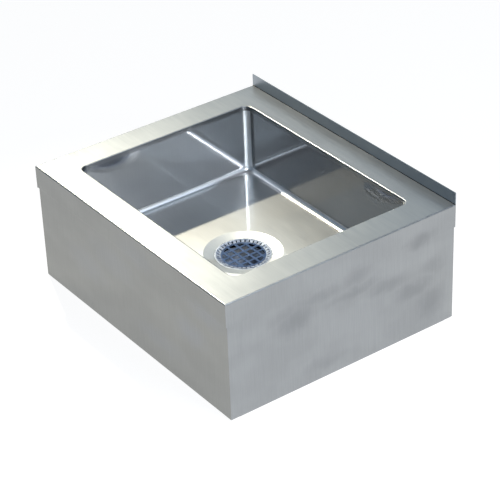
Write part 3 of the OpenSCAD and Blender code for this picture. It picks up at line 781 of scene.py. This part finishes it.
def square_hole_tree():
    """Cuts squares in rows out of the incoming plate, except at the corners of the field."""
    tree, given = new_tree("square_holes_in_a_plate", {
        "Holes Across": "NodeSocketInt", "Pitch": "NodeSocketFloat", "Hole": "NodeSocketFloat",
        "Depth": "NodeSocketFloat", "Height": "NodeSocketFloat"})
    hole = add_node(tree, "GeometryNodeCurvePrimitiveQuadrilateral", {
        "Width": given["Hole"], "Height": given["Hole"]})
    cutter = prism(tree, hole.outputs["Curve"], given["Depth"])
    gaps = add_node(tree, "ShaderNodeMath", {0: given["Holes Across"], 1: 1}, operation="SUBTRACT")
    span = add_node(tree, "ShaderNodeMath", {
        0: gaps.outputs["Value"], 1: given["Pitch"]}, operation="MULTIPLY").outputs["Value"]
    points = add_node(tree, "GeometryNodeMeshGrid", {
        "Size X": span, "Size Y": span,
        "Vertices X": given["Holes Across"], "Vertices Y": given["Holes Across"]}).outputs["Mesh"]
    place = add_node(tree, "GeometryNodeInputPosition").outputs["Position"]
    parts = add_node(tree, "ShaderNodeSeparateXYZ", {"Vector": place})
    across = add_node(tree, "ShaderNodeMath", {0: parts.outputs["X"]}, operation="ABSOLUTE")
    along = add_node(tree, "ShaderNodeMath", {0: parts.outputs["Y"]}, operation="ABSOLUTE")
    total = add_node(tree, "ShaderNodeMath", {
        0: across.outputs["Value"], 1: along.outputs["Value"]}, operation="ADD")
    limit = add_node(tree, "ShaderNodeMath", {0: span, 1: CORNER_LIMIT}, operation="MULTIPLY")
    kept = add_node(tree, "ShaderNodeMath", {
        0: total.outputs["Value"], 1: limit.outputs["Value"]}, operation="LESS_THAN")
    holes = add_node(tree, "GeometryNodeInstanceOnPoints", {
        "Points": points, "Instance": cutter, "Selection": kept.outputs["Value"]})
    cut = cut_away(tree, given["Geometry"], holes.outputs["Instances"], given["Height"])
    close_tree(tree, cut, given["Material"])
    return tree


inner_r = plate_r - EDGE_W
plate_mesh = disc("basket_plate", inner_r, plate_low, plate_high, PLATE_STEPS)
plate = grow("basket_plate", plate_mesh, square_hole_tree(), {
    "Holes Across": HOLES_ACROSS, "Pitch": HOLE_PITCH * MM, "Hole": HOLE * MM,
    "Depth": HOLE_CUT * MM, "Height": (plate_low + plate_high) / 2 * MM,
    "Material": grid_steel}, PLATE_ROUNDING)
edge_outline = [
    (plate_r, plate_low), (plate_r, plate_high), (inner_r, plate_high), (inner_r, plate_low)]
edge_mesh = lathe("basket_plate_edge", edge_outline, PLATE_STEPS)
whole = bmesh.new()
whole.from_mesh(plate.data)
whole.from_mesh(edge_mesh)
whole.to_mesh(plate.data)
whole.free()
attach(plate, "basket")
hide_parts("basket_grid")
print("grid plate with", len(plate.data.polygons), "faces")

# %% [markdown]
# ## The white studio
#
# The sink stands on white paper that runs out of sight. The camera and the mirror-like steel see
# the paper glow white, and only they do, so the white costs the object no extra light. The paper
# still takes a soft shadow under the sink.

# %% Floor
FLOOR_R, FLOOR_STEPS = 8, 96  # metres
FLOOR_DROP = 0.5  # mm under the sink's feet
PAPER_COLOUR, PAPER_GLOW = "#7b7b7b", 0.93


def studio_floor():
    """A large round sheet of paper just under the sink's feet."""
    flat = bmesh.new()
    bmesh.ops.create_circle(flat, cap_ends=True, radius=FLOOR_R, segments=FLOOR_STEPS,
                            matrix=Matrix.Translation((0, 0, -FLOOR_DROP * MM)))
    sheet = bpy.data.objects.new("studio_floor", mesh_of("studio_floor", flat))
    bpy.context.scene.collection.objects.link(sheet)
    sheet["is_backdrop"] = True
    material, tree = new_material("white_studio_paper")
    path = add_node(tree, "ShaderNodeLightPath")
    seen = add_node(tree, "ShaderNodeMath", {
        0: path.outputs["Is Camera Ray"], 1: path.outputs["Is Glossy Ray"]}, operation="MAXIMUM")
    seen = add_node(tree, "ShaderNodeMath", {
        0: seen.outputs["Value"], 1: path.outputs["Is Transmission Ray"]}, operation="MAXIMUM")
    paper = add_node(tree, "ShaderNodeBsdfDiffuse", {"Color": colour(PAPER_COLOUR)})
    glow = add_node(tree, "ShaderNodeEmission", {
        "Color": colour("#ffffff"), "Strength": PAPER_GLOW})
    both = add_node(tree, "ShaderNodeAddShader", {
        0: paper.outputs["BSDF"], 1: glow.outputs["Emission"]})
    mix = add_node(tree, "ShaderNodeMixShader", {
        0: seen.outputs["Value"], 1: paper.outputs["BSDF"], 2: both.outputs["Shader"]})
    sheet.data.materials.append(close_material(material, mix.outputs["Shader"]))


studio_floor()
print("paper floor of radius", FLOOR_R, "m")

# %% [markdown]
# ## The room's light
#
# Metal shows what stands round it, so the light is built by direction. The world is dark with four
# soft lobes of light in it. A cool high one at the left is what the deck mirrors. A dim blue one
# stands low at the front left, and a stronger one low in front lights the front panel. A small
# bright one high at the back right draws the line in the bowl's left cove. A picture of a studio
# would also work, but a lobe is quick to move and has only a few numbers.

# %% World
WORLD_LOBES = [
    # azimuth, elevation and half width in degrees, red, green, blue
    (155, 38, 44, 0.40, 0.49, 0.58),
    (225, 8, 44, 0.02, 0.11, 0.24),
    (270, 8, 44, 0.25, 0.42, 0.62),
    (50, 49, 18, 0.90, 1.10, 1.35),
]
LOBE_INNER = 6  # degrees from a lobe's middle where it starts to fade


def direction_to(azimuth, elevation):
    """The unit vector toward an azimuth and an elevation in degrees, azimuth 0 along +X."""
    turn, rise = math.radians(azimuth), math.radians(elevation)
    flat = math.cos(rise)
    return Vector((math.cos(turn) * flat, math.sin(turn) * flat, math.sin(rise)))


def studio_world():
    """A dark world with soft lobes of light."""
    world = bpy.data.worlds.new("studio")
    world.use_nodes = True
    tree = world.node_tree
    tree.nodes.clear()
    direction = add_node(tree, "ShaderNodeTexCoord").outputs["Generated"]
    sky = None
    for azimuth, elevation, half_width, *light in WORLD_LOBES:
        toward = add_node(tree, "ShaderNodeVectorMath", {
            0: direction, 1: direction_to(azimuth, elevation)}, operation="DOT_PRODUCT")
        glow = add_node(tree, "ShaderNodeMapRange", {
            "Value": toward.outputs["Value"], "From Min": math.cos(math.radians(half_width)),
            "From Max": math.cos(math.radians(LOBE_INNER)), "To Min": 0, "To Max": 1},
            interpolation_type="SMOOTHSTEP")
        lobe = add_node(tree, "ShaderNodeVectorMath", {
            0: light, "Scale": glow.outputs["Result"]}, operation="SCALE").outputs["Vector"]
        sky = lobe if sky is None else add_node(
            tree, "ShaderNodeVectorMath", {0: sky, 1: lobe}, operation="ADD").outputs["Vector"]
    background = add_node(tree, "ShaderNodeBackground", {"Color": sky, "Strength": 1.0})
    add_node(tree, "ShaderNodeOutputWorld", {"Surface": background.outputs["Background"]})
    return world


bpy.context.scene.world = studio_world()
print("world with", len(WORLD_LOBES), "soft lobes")

# %% [markdown]
# ## The lamps
#
# One small lamp high at the left is the key. The bowl's left wall cuts its light off, so a straight
# shadow edge crosses the bowl's floor as in the photograph. Its narrow spread keeps it off the rest
# of the room. The lamps at the right fill the side panel and draw the white lines in the rounded
# corners of the bowl.

# %% Lamps
LAMP_AIM = Vector((0, 0, 0.2))
LAMPS = [
    # name, azimuth, elevation, distance, size, watts of red, green and blue
    ("right_high", 7, 39, 2.0, 0.75, (18.5, 20.0, 22.0)),
    ("front_right_high", -22, 42, 2.0, 0.5, (3.2, 3.4, 3.8)),
    ("front_right_low", -30, 14, 2.0, 1.2, (5.5, 7.0, 8.5)),
]
KEY_PLACE, KEY_AIM = (-1.745, 0.25, 2.132), (0.11, -0.12, 0.2)
KEY_SIZE, KEY_WATTS, KEY_TINT = 0.09, 3.3, (1.0, 0.94, 0.76)
KEY_SPREAD, WHOLE_SPREAD = 40, 180  # degrees


def softbox(name, place, aim, size, power, tint, spread=WHOLE_SPREAD):
    """A round area lamp at a place, turned to its aim. Its light stays within the spread."""
    data = bpy.data.lights.new(name, "AREA")
    data.shape, data.size, data.energy = "DISK", size, power
    data.color, data.spread = tint, math.radians(spread)
    lamp = bpy.data.objects.new(name, data)
    lamp.location = place
    lamp.rotation_euler = (Vector(aim) - Vector(place)).to_track_quat("-Z", "Y").to_euler()
    bpy.context.scene.collection.objects.link(lamp)


for name, azimuth, elevation, distance, size, watts in LAMPS:
    softbox(name, LAMP_AIM + distance * direction_to(azimuth, elevation), LAMP_AIM, size,
            max(watts), [w / max(watts) for w in watts])
softbox("key", KEY_PLACE, KEY_AIM, KEY_SIZE, KEY_WATTS, KEY_TINT, KEY_SPREAD)
print("lamps:", len(LAMPS) + 1)

# %% [markdown]
# ## The size before and after
#
# The dressed sink has to fill the same space as the CAD model, so the box round all its pieces is
# measured once more and kept beside the first one.

# %% Sizes
size = {"cad": [list(c) for c in cad_box], "visual": [list(c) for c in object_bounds()]}
print("visual box in mm:", in_mm(size["visual"]))
